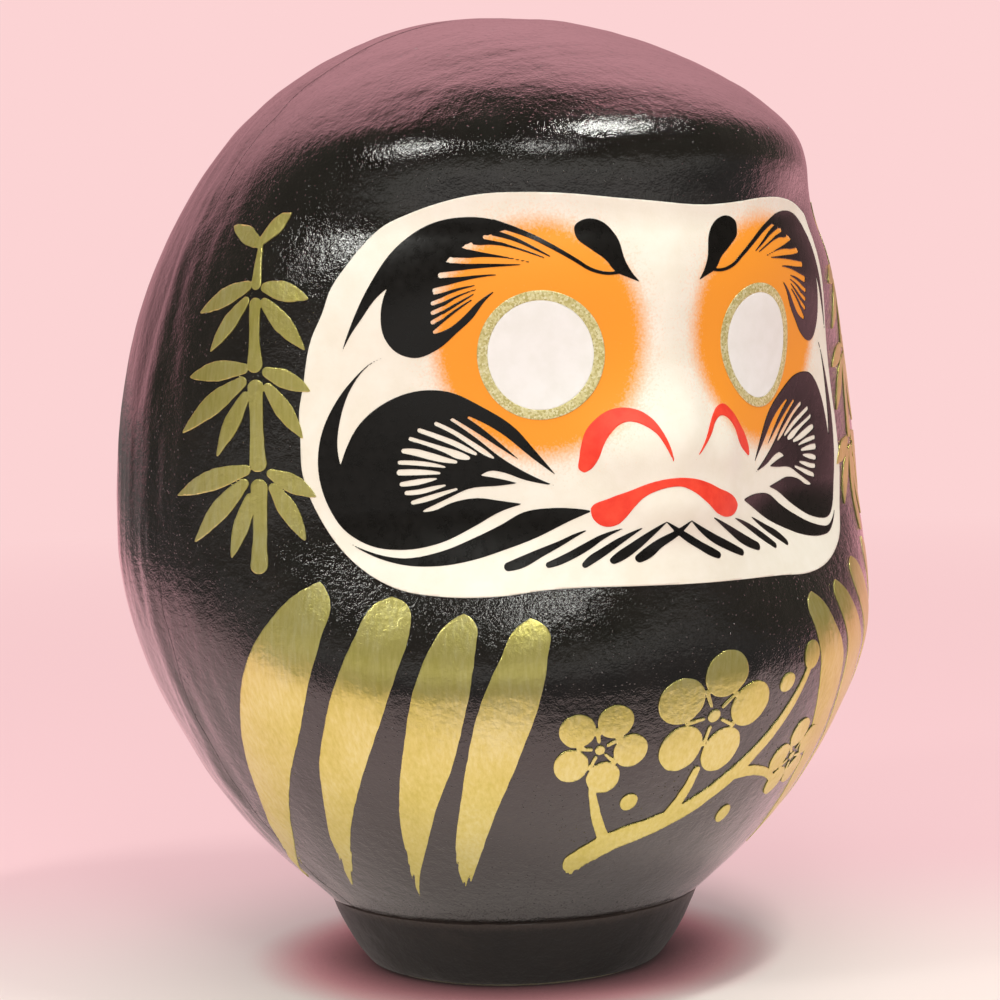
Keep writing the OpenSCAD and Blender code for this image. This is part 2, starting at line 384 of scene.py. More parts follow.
def shape(*arcs):
    """A closed shape of smooth arcs that meet in sharp corners. Gives its edge distance."""
    ring = np.concatenate([curve(arc) for arc in arcs])

    def edge_off(s, z):
        near, inside = np.full(s.shape, 1e9), np.zeros(s.shape, bool)
        for (s0, z0), (s1, z1) in zip(ring, np.roll(ring, -1, 0)):
            ds, dz = s1 - s0, z1 - z0
            if ds == dz == 0:
                continue
            t = np.clip(((s - s0) * ds + (z - z0) * dz) / (ds * ds + dz * dz), 0, 1)
            near = np.minimum(near, (s - s0 - t * ds) ** 2 + (z - z0 - t * dz) ** 2)
            if dz:
                inside ^= ((z0 > z) != (z1 > z)) & (s < s0 + (z - z0) * ds / dz)
        return np.sqrt(near) * np.where(inside, -1, 1)

    return edge_off


def loop(points):
    """A closed shape with no corners."""
    points = list(points)
    n = len(points)
    ring = curve(points[-2:] + points + points[:2])
    return shape(*[ring[i : i + 2] for i in range(2 * CUTS, (n + 2) * CUTS)])


def stroke(*points):
    """A brush stroke along points (s, z, width)."""
    line = curve(points)

    def edge_off(s, z):
        near = np.full(s.shape, 1e9)
        for (s0, z0, w0), (s1, z1, w1) in zip(line[:-1], line[1:]):
            ds, dz = s1 - s0, z1 - z0
            t = np.clip(((s - s0) * ds + (z - z0) * dz) / max(ds * ds + dz * dz, 1e-9), 0, 1)
            away = np.hypot(s - s0 - t * ds, z - z0 - t * dz)
            near = np.minimum(near, away - np.maximum(w0 + t * (w1 - w0), 0) / 2)
        return near

    return edge_off


def oval(s0, z0, half_w, half_h, lean=0.0):
    def edge_off(s, z):
        reach = np.hypot((s - s0 - lean * (z - z0)) / half_w, (z - z0) / half_h)
        return (reach - 1) * min(half_w, half_h)
    return edge_off


def together(*parts):
    """All of the parts as one mark."""
    return lambda s, z: np.minimum.reduce([p(s, z) for p in parts])


def without(whole, *cuts):
    """The whole mark, less the cuts."""
    return lambda s, z: np.maximum.reduce([whole(s, z)] + [-c(s, z) for c in cuts])


def mirrored(part):
    """The same mark on the viewer's right, a little narrower at its outer end."""
    def edge_off(s, z):
        left = s - 1
        left = -np.where(left > 75, 75 + (left - 75) / 0.65, left)
        return part(left, z)
    return edge_off


def film(name, edge_off, box, grain, lift, thick, material):
    """A painted film: every place in box (s0, s1, z0, z1) where edge_off is below zero.
    It lies on the skin, and on the outer strip where it crosses that."""
    s0, s1, z0, z1 = box
    ss, zz = np.arange(s0, s1 + grain, grain), np.arange(z0, z1 + grain, grain)
    s, z = np.meshgrid(ss, zz)
    off = edge_off(s, z)
    off = np.where(np.abs(off) < 1e-4, 1e-4, off)
    wet = off < 0
    rows, columns = s.shape
    number = -np.ones(s.shape, int)
    number[wet] = np.arange(wet.sum())
    places = list(zip(s[wet], z[wet]))
    crossings = {}

    def crossing(a, b):
        key = (min(a, b), max(a, b))
        if key not in crossings:
            t = off[a] / (off[a] - off[b])
            crossings[key] = len(places)
            places.append((s[a] + t * (s[b] - s[a]), z[a] + t * (z[b] - z[a])))
        return crossings[key]

    full = wet[:-1, :-1] & wet[:-1, 1:] & wet[1:, 1:] & wet[1:, :-1]
    some = (wet[:-1, :-1] | wet[:-1, 1:] | wet[1:, 1:] | wet[1:, :-1]) & ~full
    i, j = np.nonzero(full)
    faces = np.stack([number[i, j], number[i, j + 1], number[i + 1, j + 1], number[i + 1, j]], -1)
    faces = [tuple(f) for f in faces.tolist()]
    for i, j in zip(*np.nonzero(some)):
        corners = [(i, j), (i, j + 1), (i + 1, j + 1), (i + 1, j)]
        ring = []
        for a, b in zip(corners, corners[1:] + corners[:1]):
            if wet[a]:
                ring.append(int(number[a]))
            if wet[a] != wet[b]:
                ring.append(crossing(a, b))
        faces.append(tuple(ring))
    places = np.array(places)
    az = np.degrees(places[:, 0] / SHEET_R)
    y = on_skin(az, places[:, 1])[:, 1] / MM
    over_strip = STRIP_T * (1 - ease(0.25, 1.0, np.abs(y) / STRIP_EDGE))
    top = on_skin(az, places[:, 1], lift + over_strip)
    piece = add_mesh(name, top, faces, material)
    uses = np.zeros(len(piece.data.loops), int)
    piece.data.loops.foreach_get("edge_index", uses)
    rim = np.bincount(uses, minlength=len(piece.data.edges)) == 1
    piece.data.attributes.new("sharp_edge", "BOOLEAN", "EDGE").data.foreach_set("value", rim)
    body = piece.modifiers.new("film thickness", "SOLIDIFY")
    body.thickness = thick * MM
    body.offset = -1
    return piece, places


# ---------------------------------------------------------------- face ground
# The face is laid in first: gofun, a matt white of ground shell in glue, tinted
# cream, with soft orange blown on round the eyes, its edge breaking into specks.
face_edge = loop([
    (-109, 182), (-107.9, 189.3), (-105.25, 203.5), (-102, 210.5), (-99.5, 217.5), (-95, 224),
    (-90, 230), (-85, 234.5), (-75, 238.75), (-65, 241.6), (-55, 243.4), (-38.6, 243.7),
    (-8.6, 241), (15.7, 239.1), (27, 239.7), (41.4, 241), (54.3, 241), (67, 239.6),
    (75.7, 237.6), (82.9, 235), (85.7, 228), (90.7, 200.7), (95.5, 182), (98, 170), (97, 150.7),
    (92.9, 144.3), (87, 137.9), (75.7, 132.1), (67, 129.6), (54.3, 128.3), (38.6, 129.3),
    (4.3, 130.7), (-12.9, 131.1), (-38.6, 130.7), (-50, 129.3), (-68.6, 129.6), (-78, 131.25),
    (-88, 136), (-98, 144.75), (-103, 152), (-108, 165), (-108.6, 175)])

# Its grit is under 0.1 mm and is drawn 0.7 mm wide, so that the spray breaks up on it.
cream, tree, shader, place = finish("cream_shell_white")
blown = add_node(tree, "Attribute", attribute_name="blown_orange")
speck = add_node(tree, "TexNoise", {
    "Vector": place, "Scale": 1 / (0.7 * MM), "Detail": 1.0, "Roughness": 0.6})
chalk = add_node(tree, "TexNoise", {
    "Vector": place, "Scale": 1 / (9 * MM), "Detail": 5.0, "Roughness": 0.6})
ground = add_node(tree, "ValToRGB", {"Fac": chalk}, stops=[(0.35, "#F3ECD9"), (0.65, "#F9F3E3")])
spray = add_node(tree, "Math", {
    0: speck, 1: 0.55, 2: blown.outputs["Fac"]}, operation="MULTIPLY_ADD")
spray = add_node(tree, "MapRange", {"Value": spray, "From Min": 0.4, "From Max": 1.15})
orange = add_node(tree, "Mix", {"Factor": spray, "A": ground, "B": "#FF9F20"}, data_type="RGBA")
relief = add_node(tree, "Bump", {"Height": speck, "Strength": 0.25, "Distance": 0.1 * MM})
feed(shader, {"Base Color": orange, "Roughness": 0.55, "Normal": relief})

face, places = film("face_ground", face_edge, (-112, 101, 126, 246), 0.7, 0.12, 0.3, cream)
s, z = places.T
around_eye = np.minimum(*(np.hypot((s - middle) / half_w, (z - 202) / 35)
                          for middle, half_w in ((-38.3, 31.5), (42.3, 36))))
blown = 1 - ease(0.8, 1.14, around_eye)
haze = 0.2 * (1 - ease(0.9, 1.4, around_eye))
layer = face.data.attributes.new("blown_orange", "FLOAT", "POINT")
layer.data.foreach_set("value", np.maximum(blown, haze).astype(np.float32))

# ---------------------------------------------------------------- brows and whiskers
# Black poster colour laid on with a pointed brush: brows like cranes and whiskers
# like tortoise shells, each a lobe with combed hairs, and thin chin hairs.
brow = together(
    shape(
        [(-96.25, 198.9), (-92.5, 208.5), (-87, 219), (-80, 228.5), (-70, 235.1), (-60, 237.1),
         (-48.85, 235.85), (-45.5, 234.5)],
        [(-45.8, 233.4), (-53.1, 231.3), (-59.7, 228.4), (-64.5, 224.2), (-66.3, 220.2),
         (-68.2, 215.6), (-68.3, 209.7), (-68.7, 204.4)],
        [(-68.2, 204.2), (-63.6, 205.85), (-59.35, 209), (-54.9, 213.1), (-49.5, 216.4)],
        [(-49.5, 216.4), (-53.05, 213.2), (-56.75, 208.5), (-61.5, 204.4), (-67.5, 199.75),
         (-74.5, 197.4), (-80, 199.25), (-83.25, 203.5), (-84, 210), (-81.85, 217.5)],
        [(-81.85, 217.5), (-85, 215), (-90, 208.75), (-93.5, 204), (-96.25, 198.9)]),
    stroke((-50, 235.2, 2.2), (-44, 233.2, 1.7), (-38.6, 230.9, 1.4), (-33, 227.8, 1.25),
           (-27, 224.1, 1.1), (-23, 221.5, 1.0), (-18.5, 220.2, 0.9), (-14.5, 220.4, 0.8)),
    shape([(-8.9, 217.4), (-12, 218.75), (-15.25, 220.25), (-16.7, 221.6), (-18, 223.5),
           (-22.5, 227.1), (-26.5, 230.75), (-26.75, 233.75), (-23, 235.85), (-18.5, 234.75),
           (-14.75, 230.5), (-12.75, 223.25), (-11, 220), (-8.9, 217.4)]),
    stroke((-50, 232.4, 1.6), (-43.6, 230.3, 1.1), (-38.3, 227.6, 0.7), (-34.25, 225.4, 0.3)),
    stroke((-55, 230.4, 3.0), (-50.15, 229.75, 1.4), (-44.9, 228.35, 0.6),
           (-39.6, 226.5, 0.45), (-35.95, 225.05, 0.3)),
    stroke((-61, 226.9, 3.8), (-54.1, 226.4, 1.45), (-48.85, 225.75, 0.6), (-40.05, 223.85, 0.3)),
    stroke((-64.8, 222.8, 3.6), (-58.85, 223.05, 1.75), (-53.6, 223.2, 1.2), (-42.65, 223.2, 0.3)),
    stroke((-67.2, 218.7, 3.2), (-60.5, 219.5, 1.4), (-56, 220.1, 0.85), (-49.65, 220.6, 0.3)),
    stroke((-68.4, 214.2, 2.2), (-65.4, 215.25, 1.2), (-61.5, 216.5, 0.8), (-55.95, 217.65, 0.3)),
    stroke((-68.4, 211.5, 1.7), (-65.4, 212.6, 1.15), (-61.5, 214.5, 0.6), (-55.55, 216.55, 0.3)),
    stroke((-68.6, 208.8, 1.6), (-65.4, 210.3, 1.0), (-61.5, 212.4, 0.75), (-56.35, 215.2, 0.3)),
    stroke((-68.8, 206, 1.8), (-65.4, 208.1, 1.0), (-61.5, 210.8, 0.7), (-56.85, 213.65, 0.3)),
)
# the ends of the ground's gaps between the hairs
brow = without(
    brow,
    stroke((-52.6, 231.3, 1.2), (-46.9, 230, 1.0)),
    stroke((-58, 228.7, 1.5), (-52.1, 228.1, 1.5)),
    stroke((-62.8, 225, 1.6), (-56.5, 224.7, 1.6)),
    stroke((-65.8, 220.8, 1.6), (-59.7, 221.3, 1.6)),
    stroke((-67.6, 216.5, 1.5), (-63, 217.4, 1.5)),
    stroke((-68.4, 212.9, 1.2), (-65.4, 213.9, 1.2)),
    stroke((-68.5, 210.2, 1.2), (-65.4, 211.45, 1.2)),
    stroke((-68.7, 207.5, 1.2), (-65.4, 209.2, 1.2)))
whisker = without(
    shape(
        [(-96.9, 166.75), (-95.75, 170.5), (-91.5, 178.5), (-85, 184), (-75, 187.75),
         (-65, 187.5), (-55, 183), (-45, 176.5), (-40, 170.75), (-33.75, 163)],
        [(-33.75, 163), (-40, 167.75), (-50, 175.75), (-58.85, 180.35)],
        [(-59.75, 180), (-55.7, 177.25), (-50, 172.65), (-44, 167.4)],
        [(-44, 167.4), (-50, 171.2), (-57, 175.8), (-63.85, 179.95)],
        [(-64.9, 179.5), (-57, 174.1), (-50, 168.6), (-42.5, 164), (-34.25, 160.1)],
        [(-34.25, 160.1), (-42.5, 161.75), (-50, 164.3), (-52.5, 164.6), (-55.95, 163.25)],
        [(-55.95, 163.25), (-50, 162.2), (-44.85, 160.9)],
        [(-44.85, 160.9), (-50, 160.3), (-59.6, 159.5), (-66.2, 156.75), (-72.8, 153.85)],
        [(-73.7, 153.1), (-70.15, 153.45), (-64.9, 155.55), (-57, 156.8), (-50, 155.9),
         (-43.35, 154.9)],
        [(-43.35, 154.9), (-50, 152.9), (-58, 148.75), (-68, 144.25), (-78, 142.5),
         (-88, 143.75), (-96, 148.5), (-101.25, 157), (-103.4, 167), (-102.5, 175.5),
         (-98, 185.3), (-92.5, 192), (-87, 196.5), (-82.75, 197.9)],
        [(-82.75, 197.9), (-88.5, 195.25), (-93.5, 189.3), (-97, 180), (-97.85, 172),
         (-96.9, 166.75)]),
    stroke((-76.2, 155.9, 1.2), (-71.5, 157.05, 1.6), (-66.2, 158.65, 1.1), (-63.2, 159.5, 0.7)),
    stroke((-78, 158.7, 1.3), (-74.3, 158.95, 1.5), (-70, 159.9, 1.3), (-66.5, 160.7, 0.5)),
    stroke((-79.4, 161.2, 1.3), (-75.4, 161.65, 1.7), (-71.5, 162.25, 1.2), (-69.2, 162.6, 0.5)),
    stroke((-80, 164.6, 1.7), (-76.5, 164.6, 1.8), (-72.5, 164.5, 1.5), (-68.2, 164.2, 0.7)),
    stroke((-79.9, 167.45, 1.2), (-75.5, 167.25, 1.4), (-71.5, 166.8, 1.3), (-66.5, 165.9, 0.5)),
    stroke((-78.7, 170.75, 1.4), (-75.4, 170.35, 2.0), (-71.5, 169.3, 2.1), (-67.5, 168.2, 1.8),
           (-63.2, 167.3, 0.9)),
    stroke((-76.6, 174.2, 1.2), (-70.15, 172.15, 1.25), (-66.2, 170.75, 1.6),
           (-62.25, 169.2, 2.2), (-59.5, 168.4, 1.2)),
    stroke((-73.9, 176.6, 1.3), (-68.2, 174.5, 1.5), (-63.6, 172.65, 1.6), (-59.6, 170.7, 1.4),
           (-57.2, 169.5, 0.9)),
    stroke((-68.9, 178.4, 1.2), (-63.6, 175.8, 1.3), (-58.3, 172.4, 1.5), (-54, 169.6, 1.4),
           (-51.9, 168.3, 0.6)),
)
moustache = shape(
    [(-95.1, 145.25), (-88, 142), (-78, 140.1), (-68, 141.75), (-58, 145.5), (-50, 149.1),
     (-43.5, 152.5), (-35, 153.65), (-25, 152.85)],
    [(-25, 152.4), (-30, 150.1), (-40, 145.25), (-50, 141.75), (-58, 139.4), (-68, 137.85),
     (-78, 138.25), (-88, 141.25), (-95.1, 145.25)])
chin_hairs = together(
    stroke((-48.3, 137.3, 2.4), (-45.5, 138.1, 3.0), (-39, 141, 2.3), (-33.5, 143.5, 1.5),
           (-28.5, 146.1, 0.8), (-25.65, 147.35, 0.1)),
    stroke((-37, 137.6, 1.6), (-35, 138.25, 2), (-31, 140, 2.2), (-26, 142.75, 2.1),
           (-22, 145.25, 1.4), (-16.6, 147.6, 0.1)),
    stroke((-27.2, 137.4, 1.6), (-25.5, 138.75, 2.2), (-22, 141, 2.2), (-18, 143.75, 1.8),
           (-11.4, 147.85, 0.1)),
    stroke((-19.6, 138.5, 2), (-18, 139.5, 2.6), (-14, 142.25, 2.6), (-10, 145.5, 1.8),
           (-5.75, 149.1, 0.2)),
    stroke((-12.8, 138.9, 2.4), (-11, 140, 3), (-7.5, 142.75, 2.6), (-2.5, 145.75, 1.8),
           (1.25, 149, 0.2)),
    stroke((10.9, 138.1, 2), (9, 139, 2.4), (5, 141.25, 2.2), (0, 144.5, 2), (-5.75, 149.1, 0.2)),
    stroke((21.2, 137.8, 2), (16.3, 139.9, 2.5), (9.1, 143.4, 2.3), (1.25, 149, 0.2)),
    stroke((30.2, 138.6, 2.4), (23.4, 141.3, 3), (16.3, 145.2, 1.8), (8.4, 149.6, 0.1)),
    stroke((40.2, 137.9, 1.8), (34.1, 141.3, 2.2), (27, 144.9, 1.6), (19.1, 148.1, 0.1)),
    stroke((47.8, 138, 1.8), (44.9, 139.9, 2.4), (37.7, 143.4, 1.8), (29.5, 147.4, 0.1)),
)

# It dries to a soft sheen over faint brush marks, about 3 mm wide.
black_colour, tree, shader, place = finish("black_poster_colour")
brushed = add_node(tree, "TexNoise", {
    "Vector": place, "Scale": 1 / (3 * MM), "Detail": 5.0, "Roughness": 0.65})
tone = add_node(tree, "ValToRGB", {"Fac": brushed}, stops=[(0.3, "#070605"), (0.7, "#110E0C")])
gloss = add_node(tree, "MapRange", {
    "Value": brushed, "From Min": 0.3, "From Max": 0.7, "To Min": 0.24, "To Max": 0.34})
relief = add_node(tree, "Bump", {"Height": brushed, "Strength": 0.3, "Distance": 0.2 * MM})
feed(shader, {"Base Color": tone, "Roughness": gloss, "IOR": 1.5, "Normal": relief})

COLOUR_LIFT, COLOUR_T = 0.24, 0.25
for name, mark, (s0, s1, z0, z1), grain in (
    ("brow", brow, (-98, -7, 196, 239), 0.35),
    ("whisker", whisker, (-105, -32, 141, 199), 0.4),
    ("moustache", moustache, (-97, -24, 136, 155), 0.4),
):
    film(f"{name}_left", mark, (s0, s1, z0, z1), grain, COLOUR_LIFT, COLOUR_T, black_colour)
    film(f"{name}_right", mirrored(mark), (-s1, 8 - s0, z0, z1), grain, COLOUR_LIFT, COLOUR_T,
         black_colour)
film("chin_hairs", chin_hairs, (-51, 50, 135, 151), 0.4, COLOUR_LIFT, COLOUR_T, black_colour)

# ---------------------------------------------------------------- nose and mouth
# Vermilion poster colour: a loop over each side of the nose, and a full mouth
# with turned-down corners.
# It dries flat and even, with faint brush marks about 4 mm wide.
red_colour, tree, shader, place = finish("vermilion_poster_colour")
brushed = add_node(tree, "TexNoise", {
    "Vector": place, "Scale": 1 / (4 * MM), "Detail": 4.0, "Roughness": 0.6})
tone = add_node(tree, "ValToRGB", {"Fac": brushed}, stops=[(0.35, "#F5371F"), (0.65, "#FF4A2E")])
relief = add_node(tree, "Bump", {"Height": brushed, "Strength": 0.3, "Distance": 0.2 * MM})
feed(shader, {"Base Color": tone, "Roughness": 0.45, "Normal": relief})
mouth = loop([
    (-24.7, 153.6), (-20, 156.25), (-15, 158.25), (-10, 160.25), (-5, 161.35), (-2, 161.5),
    (2.5, 160.9), (7.5, 159.25), (12, 157.2), (16.3, 155.6), (19.9, 153.4), (21.1, 151.6),
    (19.9, 149.9), (14.9, 148.8), (11.3, 149.9), (6.3, 153.8), (1.5, 157.5), (-1.5, 158.9),
    (-4, 159), (-7.5, 158.25), (-11.5, 156.25), (-14, 153.5), (-16, 150.75), (-18, 148.75),
    (-20, 148.1), (-22, 148.4), (-24.2, 150.4)])
nose = together(
    shape([(-26.1, 163.65), (-27.4, 164.5), (-27.25, 168), (-26.5, 172), (-25.25, 175.5),
           (-22.5, 178.75), (-19, 181.1), (-15.5, 181.85), (-10.5, 180.6), (-8, 178.25),
           (-6.5, 175.5), (-5, 171.5), (-3.5, 165)],
          [(-3.5, 165), (-6, 171), (-7.5, 174), (-10, 176.4), (-12, 177.5), (-14.5, 177.85),
           (-16, 177.35), (-19, 174.75), (-20.5, 172.5), (-23, 166.5), (-24.25, 164.75),
           (-26.1, 163.65)]),
    shape([(2, 165.9), (6.3, 172), (10.6, 177.7), (14.9, 180.9), (17.7, 181.4), (22, 179.1),
           (26.3, 174.9), (29.9, 170.6), (31.3, 167), (31.1, 165.4), (28.4, 166.6),
           (24.1, 169.9), (22, 174.1), (18.4, 177.4), (15.6, 178.1), (12, 176.6), (9.1, 173.4),
           (4.9, 169.1), (2, 165.9)]))
film("mouth", mouth, (-26, 22, 147, 163), 0.5, COLOUR_LIFT, COLOUR_T, red_colour)
film("nose_lines", nose, (-29, 33, 162, 183), 0.5, COLOUR_LIFT, COLOUR_T, red_colour)

# ---------------------------------------------------------------- eyes
# Left blank for the owner to fill in: a thick white disc of shell white, ringed
# with gold bronze powder in varnish, which glitters grain by grain.
EYE_RIM = 3.1
# middle, half width, half height and lean of each
EYES = {"left": (-37.5, 197.4, 18.4, 18.5, 0), "right": (38.7, 197.5, 19.6, 18.5, -0.13)}
# Its flakes are under 0.1 mm and are drawn 0.55 mm wide, to show their glitter.
gold_powder, tree, shader, place = finish("gold_bronze_powder")
grains = add_node(tree, "TexVoronoi", {"Vector": place, "Scale": 1 / (0.55 * MM)}, feature="F1")
tone = add_node(tree, "ValToRGB", {"Fac": grains.outputs["Color"]}, stops=[
    (0.2, "#D2C67C"), (0.6, "#F0E8A8"), (0.9, "#FFFAD0")])
relief = add_node(tree, "Bump", {
    "Height": grains.outputs["Color"], "Strength": 0.5, "Distance": 0.2 * MM})
feed(shader, {"Base Color": tone, "Metallic": 0.35, "Roughness": 0.4, "Normal": relief})
# A thicker, cooler coat of the same white, faintly clouded every 7 mm or so.
eye_white, tree, shader, place = finish("thick_shell_white")
chalk = add_node(tree, "TexNoise", {
    "Vector": place, "Scale": 1 / (7 * MM), "Detail": 4.0, "Roughness": 0.6})
tone = add_node(tree, "ValToRGB", {"Fac": chalk}, stops=[(0.35, "#F3F3EC"), (0.65, "#F9F9F4")])
relief = add_node(tree, "Bump", {"Height": chalk, "Strength": 0.2, "Distance": 0.3 * MM})
feed(shader, {"Base Color": tone, "Roughness": 0.5, "Normal": relief})
for side, (s0, z0, half_w, half_h, lean) in EYES.items():
    box = (s0 - half_w - 3, s0 + half_w + 3, z0 - half_h - 1, z0 + half_h + 1)
    inner = oval(s0, z0, half_w - EYE_RIM, half_h - EYE_RIM + 0.3, lean)
    ring = without(oval(s0, z0, half_w, half_h, lean), inner)
    film(f"eye_ring_{side}", ring, box, 0.5, 0.3, 0.3, gold_powder)
    film(f"eye_white_{side}", inner, box, 0.6, 0.26, 0.3, eye_white)

# ---------------------------------------------------------------- gold brush work
# The robe's folds and the good-luck sprigs, in gold bronze powder thinned with
# varnish and laid on with a flat brush that runs dry at the end of each pull.
fold_a = shape(
    [(-101.4, 133.6), (-97.9, 128.6), (-100, 117.1), (-104.3, 104.3), (-111.4, 88.6),
     (-121.4, 74.3), (-135, 57.1), (-146.4, 45.7), (-156.4, 38.6), (-169, 32.6)],
    [(-169.3, 34.3), (-159.3, 42.9), (-152.1, 52.9), (-145.7, 62.9), (-140.7, 75.7),
     (-133.6, 91.4), (-126.4, 105.7), (-117.9, 119.3), (-107.1, 130.7), (-101.4, 133.6)])
fold_b = shape(
    [(-80.7, 129.7), (-75.4, 125.7), (-75, 121.4), (-77.9, 110), (-82.9, 97.1), (-90, 82.9),
     (-98.6, 68.6), (-108.6, 54.3), (-115.7, 44.3), (-127.9, 34.3)],
    [(-127.9, 34.3), (-121.4, 45.7), (-118.6, 52.9), (-112.9, 64.3), (-107.9, 78.6),
     (-101.4, 92.9), (-95, 107.1), (-90, 118.6), (-85.7, 127.1), (-80.7, 129.7)])
fold_c = shape(
    [(-60.7, 124.7), (-57.6, 122.1), (-57.6, 114.3), (-59.3, 102.9), (-62.1, 91.4),
     (-66.4, 78.6), (-72.9, 65.7), (-78.6, 54.3), (-82.9, 47.1), (-91.4, 33.6)],
    [(-91.4, 33.6), (-90.3, 41.4), (-88.6, 48.6), (-85.7, 62.9), (-82.9, 72.9),
     (-78.6, 87.1), (-74.3, 102.9), (-70, 114.3), (-65, 122.1), (-60.7, 124.7)])
fold_d = shape(
    [(-42.9, 123.1), (-38.4, 120), (-38.9, 111.4), (-41.4, 98.6), (-45, 87.1), (-49.3, 75.7),
     (-54.3, 64.3), (-60, 51.4), (-65, 41.4), (-69.3, 38.3)],
    [(-69.3, 38.3), (-70, 47.1), (-68.6, 54.3), (-65, 67.1), (-62.1, 78.6), (-59.3, 90),
     (-55.7, 101.4), (-51.4, 111.4), (-46.4, 120.7), (-42.9, 123.1)])


def dry_ends(part, wet_above=56.0, slant=0.0):
    """The brush runs out below this height: the film breaks into bristle streaks."""
    def edge_off(s, z):
        flat = np.zeros_like(s)
        across = s - slant * z
        streak = swells(across / 0.6, flat, z / 20, 11)
        streak = streak + 0.5 * swells(across / 1.7, flat, z / 26, 12)
        edge = 0.12 * swells(s / 1.8, flat, z / 2.5, 13)
        return part(s, z) + edge + 3.6 * np.maximum(streak, 0) * (1 - ease(33, wet_above, z))
    return edge_off


def right_fold(part):
    """The folds on the viewer's right start further out and spread a little more."""
    return lambda s, z: part(9 + 0.1 * (123 - z) - s, z)


# Bristles leave lines 1.1 mm apart along the pull, and the paint pools every 22 mm or
# so; the paper's pebble shows through, and the flakes are drawn 0.6 mm wide to show.
gold_paint, tree, shader, place = finish("brushed_gold_bronze")
pulled = add_node(tree, "Mapping", {"Vector": place, "Scale": (1.0, 1.0, 0.12)})
bristles = add_node(tree, "TexNoise", {
    "Vector": pulled, "Scale": 1 / (1.1 * MM), "Detail": 4.0, "Roughness": 0.6})
grains = add_node(tree, "TexVoronoi", {"Vector": place, "Scale": 1 / (0.6 * MM)}, feature="F1")
pooled = add_node(tree, "TexNoise", {"Vector": place, "Scale": 1 / (22 * MM), "Detail": 3.0})
laid = add_node(tree, "Math", {0: bristles, 1: pooled}, operation="ADD")
tone = add_node(tree, "MapRange", {"Value": laid, "From Min": 0.7, "From Max": 1.3})
tone = add_node(tree, "ValToRGB", {"Fac": tone}, stops=[
    (0.0, "#DED473"), (0.5, "#EBE18A"), (1.0, "#F5EEA6")])
pebble = add_node(tree, "TexNoise", {
    "Vector": place, "Scale": 1 / (2.2 * MM), "Detail": 4.0, "Roughness": 0.6})
relief = add_node(tree, "Bump", {"Height": bristles, "Strength": 0.5, "Distance": 0.08 * MM})
relief = add_node(tree, "Bump", {
    "Height": pebble, "Normal": relief, "Strength": 1.0, "Distance": 0.18 * MM})
relief = add_node(tree, "Bump", {
    "Height": grains.outputs["Color"], "Normal": relief, "Strength": 0.3, "Distance": 0.06 * MM})
feed(shader, {"Base Color": tone, "Metallic": 0.8, "Roughness": 0.28, "Normal": relief})

GOLD_LIFT, SPRIG_LIFT, GOLD_T = 0.13, 0.3, 0.3
for name, fold, slant, (s0, s1, z0, z1) in (
    ("a", fold_a, 1.4, (-172, -95, 30, 136)),
    ("b", fold_b, 0.9, (-130, -72, 31, 132)),
    ("c", fold_c, 0.6, (-94, -55, 31, 127)),
    ("d", fold_d, 0.5, (-73, -35, 35, 126)),
):
    fold = dry_ends(fold, slant=slant)
    film(f"robe_fold_{name}_left", fold, (s0, s1, z0, z1), 0.45, GOLD_LIFT, GOLD_T, gold_paint)
    film(f"robe_fold_{name}_right", right_fold(fold), (7 - s1, 21 - s0, z0, z1), 0.45,
         GOLD_LIFT, GOLD_T, gold_paint)


def leaf(s0, z0, turn, length, width):
    """A bamboo leaf: one press and lift of the brush, turn degrees round from upright."""
    ds, dz = math.sin(math.radians(turn)), math.cos(math.radians(turn))
    droop = 0.1 * length
    spots = ((0, 0.5), (0.2, 0.8), (0.45, 1), (0.75, 0.65), (1, 0.05))
    return stroke(*[(s0 + ds * t * length, z0 + dz * t * length - droop * t * t,
                     w * width) for t, w in spots])


def bamboo(s0):
    """A bamboo sprig for the side of the doll: jointed cane and pressed leaves."""
    return together(
        stroke((s0 + 4.2, 138, 5.2), (s0 + 3.7, 149, 4.2), (s0 + 3.3, 160.4, 5.2)),
        stroke((s0 + 2.9, 167.6, 5.2), (s0 + 2.3, 178, 4.0), (s0 + 1.6, 189.4, 4.8)),
        stroke((s0 + 1.1, 196.2, 4.8), (s0 + 0.4, 205, 3.4), (s0 - 0.4, 213.6, 4.0)),
        stroke((s0 - 0.9, 219.6, 3.6), (s0 - 1.6, 226, 2.4), (s0 - 2.5, 233, 1.2)),
        leaf(s0 - 1, 165.5, -104, 24, 6.2), leaf(s0 - 1.5, 161.5, -134, 22, 6),
        leaf(s0 + 0.5, 157.5, -162, 17, 5), leaf(s0 + 7, 164.5, 112, 14, 5.4),
        leaf(s0 + 7.5, 160.5, 144, 17, 5.4),
        leaf(s0 - 2.5, 195, -92, 20, 6), leaf(s0 - 3, 191, -122, 24, 6.4),
        leaf(s0 - 1.5, 187, -151, 18, 5.2), leaf(s0 + 5, 194, 108, 14, 5.4),
        leaf(s0 + 5.5, 189.5, 141, 17, 5.2),
        leaf(s0 - 4, 219, -108, 19, 5.8), leaf(s0 - 4, 214.5, -139, 17, 5.2),
        leaf(s0 + 2.5, 218.5, 98, 15, 5.6), leaf(s0 + 3, 214, 131, 18, 5.6),
        leaf(s0 - 3, 231, -62, 15, 5), leaf(s0 - 2, 232, 44, 14, 5))


right_sprig = bamboo(-116)
film("bamboo_left", dry_ends(bamboo(-124), 35), (-154, -94, 134, 240), 0.5, SPRIG_LIFT,
     GOLD_T, gold_paint)
film("bamboo_right", dry_ends(lambda s, z: right_sprig(-s, z), 35), (86, 146, 134, 240), 0.5,
     SPRIG_LIFT, GOLD_T, gold_paint)


